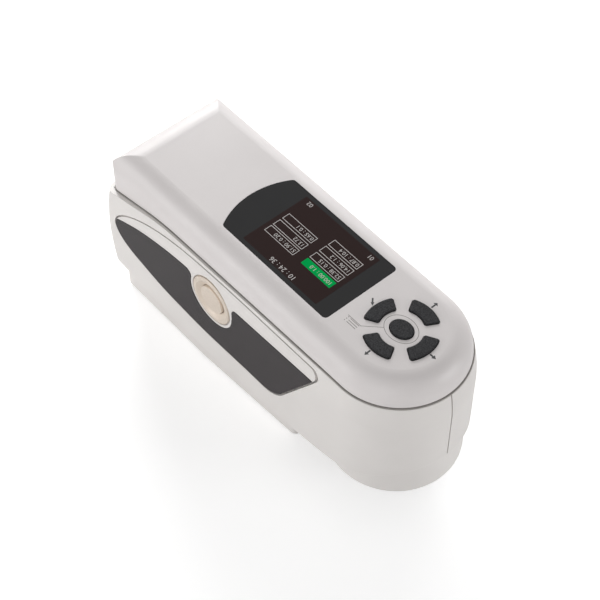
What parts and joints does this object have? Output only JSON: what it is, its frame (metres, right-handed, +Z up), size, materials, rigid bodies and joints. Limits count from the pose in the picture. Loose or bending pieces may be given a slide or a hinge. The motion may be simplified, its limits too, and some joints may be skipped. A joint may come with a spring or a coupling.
{
  "type": "portable colorimeter",
  "caption": "Handheld colour measuring instrument with a screen and oval key pad on top, side grips, a measure button, and a capped round measuring nose below the front.",
  "frame": {"origin": "middle of the footprint's box, on the surface that the instrument stands on", "axes": "+X points to the measuring head and the keys, -Y is the side with the measure button, +Z is up"},
  "size_m": [0.205, 0.0706, 0.1008],
  "materials": {
    "cover_paint": "warm light grey satin lacquer on moulded plastic",
    "shell_paint": "warm off-white satin lacquer on moulded plastic",
    "champagne_paint": "champagne satin lacquer on moulded plastic",
    "grip_film": "dark grey grip with a fine diagonal weave pattern",
    "lens_gloss": "dark smoked acrylic window, polished",
    "black_tape": "thin black adhesive foam tape",
    "foam_rubber": "soft black sealing rubber",
    "seal_foam": "grey foam seal on the rim of the housing",
    "display_glass": "colour display module behind its window",
    "key_rubber": "dark grey silicone rubber key",
    "board_green": "green circuit board lacquer",
    "steel": "plated steel",
    "black_plastic": "fine-grained black plastic",
    "cap_plastic": "dark grey fluted plastic cap",
    "tile_ceramic": "glazed white calibration tile",
    "sphere_white": "matt white diffuse coating",
    "battery_wrap": "blue shrink wrap round two round cells",
    "contact_brass": "plated battery contacts",
    "foot_rubber": "mid grey rubber foot"
  },
  "bodies": {
    "case": {"top_cover": "cover_paint", "housing_left": "shell_paint", "housing_right": "shell_paint", "base_block": "shell_paint", "head_collar": "shell_paint", "side_panel_left": "shell_paint", "side_panel_right": "shell_paint", "grip_left": "grip_film", "grip_right": "grip_film", "test_bezel": "champagne_paint", "display_lens": "lens_gloss", "lens_tape": "black_tape", "display_gasket": "foam_rubber", "display_panel": "display_glass", "main_board": "board_green", "key_board": "board_green", "switch_board": "board_green", "sensor_board": "board_green", "led_board": "board_green", "port_board": "board_green", "key_domes": "steel", "board_screws": "steel", "case_screws": "steel", "switch_screws": "steel", "head_screws": "steel", "case_seal": "seal_foam", "test_switch": "black_plastic", "measuring_nose": "black_plastic", "nose_ring": "foam_rubber", "sphere_lower": "sphere_white", "sphere_upper": "sphere_white", "battery": "battery_wrap", "battery_contacts": "contact_brass", "rubber_feet": "foot_rubber", "port_panel": "black_plastic", "dc_jack": "black_plastic", "usb_port": "steel", "power_switch": "black_plastic"},
    "centre_key": {"key_centre": "key_rubber"},
    "front_key": {"key_front": "key_rubber"},
    "left_key": {"key_left": "key_rubber"},
    "rear_key": {"key_rear": "key_rubber"},
    "right_key": {"key_right": "key_rubber"},
    "measure_button": {"test_button": "champagne_paint"},
    "power_slider": {"switch_knob": "black_plastic"},
    "nose_cap": {"calibration_cap": "cap_plastic", "white_tile": "tile_ceramic"},
    "battery_cover": {"battery_door": "shell_paint"}
  },
  "joints": [
    {"name": "centre_key_press", "type": "slide", "parent": "case", "child": "centre_key", "axis": [0, 0, -1], "range_m": [0, 0.0007], "stiffness_N_per_m": 2500},
    {"name": "front_key_press", "type": "slide", "parent": "case", "child": "front_key", "axis": [0, 0, -1], "range_m": [0, 0.0007], "stiffness_N_per_m": 2500},
    {"name": "left_key_press", "type": "slide", "parent": "case", "child": "left_key", "axis": [0, 0, -1], "range_m": [0, 0.0007], "stiffness_N_per_m": 2500},
    {"name": "rear_key_press", "type": "slide", "parent": "case", "child": "rear_key", "axis": [0, 0, -1], "range_m": [0, 0.0007], "stiffness_N_per_m": 2500},
    {"name": "right_key_press", "type": "slide", "parent": "case", "child": "right_key", "axis": [0, 0, -1], "range_m": [0, 0.0007], "stiffness_N_per_m": 2500},
    {"name": "measure_button_press", "type": "slide", "parent": "case", "child": "measure_button", "axis": [0, 1, 0], "range_m": [0, 0.0015], "stiffness_N_per_m": 2000},
    {"name": "power_slide", "type": "slide", "parent": "case", "child": "power_slider", "axis": [0, 1, 0], "range_m": [0, 0.003]},
    {"name": "cap_pull", "type": "slide", "parent": "case", "child": "nose_cap", "axis": [0, 0, -1], "range_m": [0, 0.03]},
    {"name": "battery_cover_slide", "type": "slide", "parent": "case", "child": "battery_cover", "axis": [-1, 0, 0], "range_m": [0, 0.09]}
  ]
}
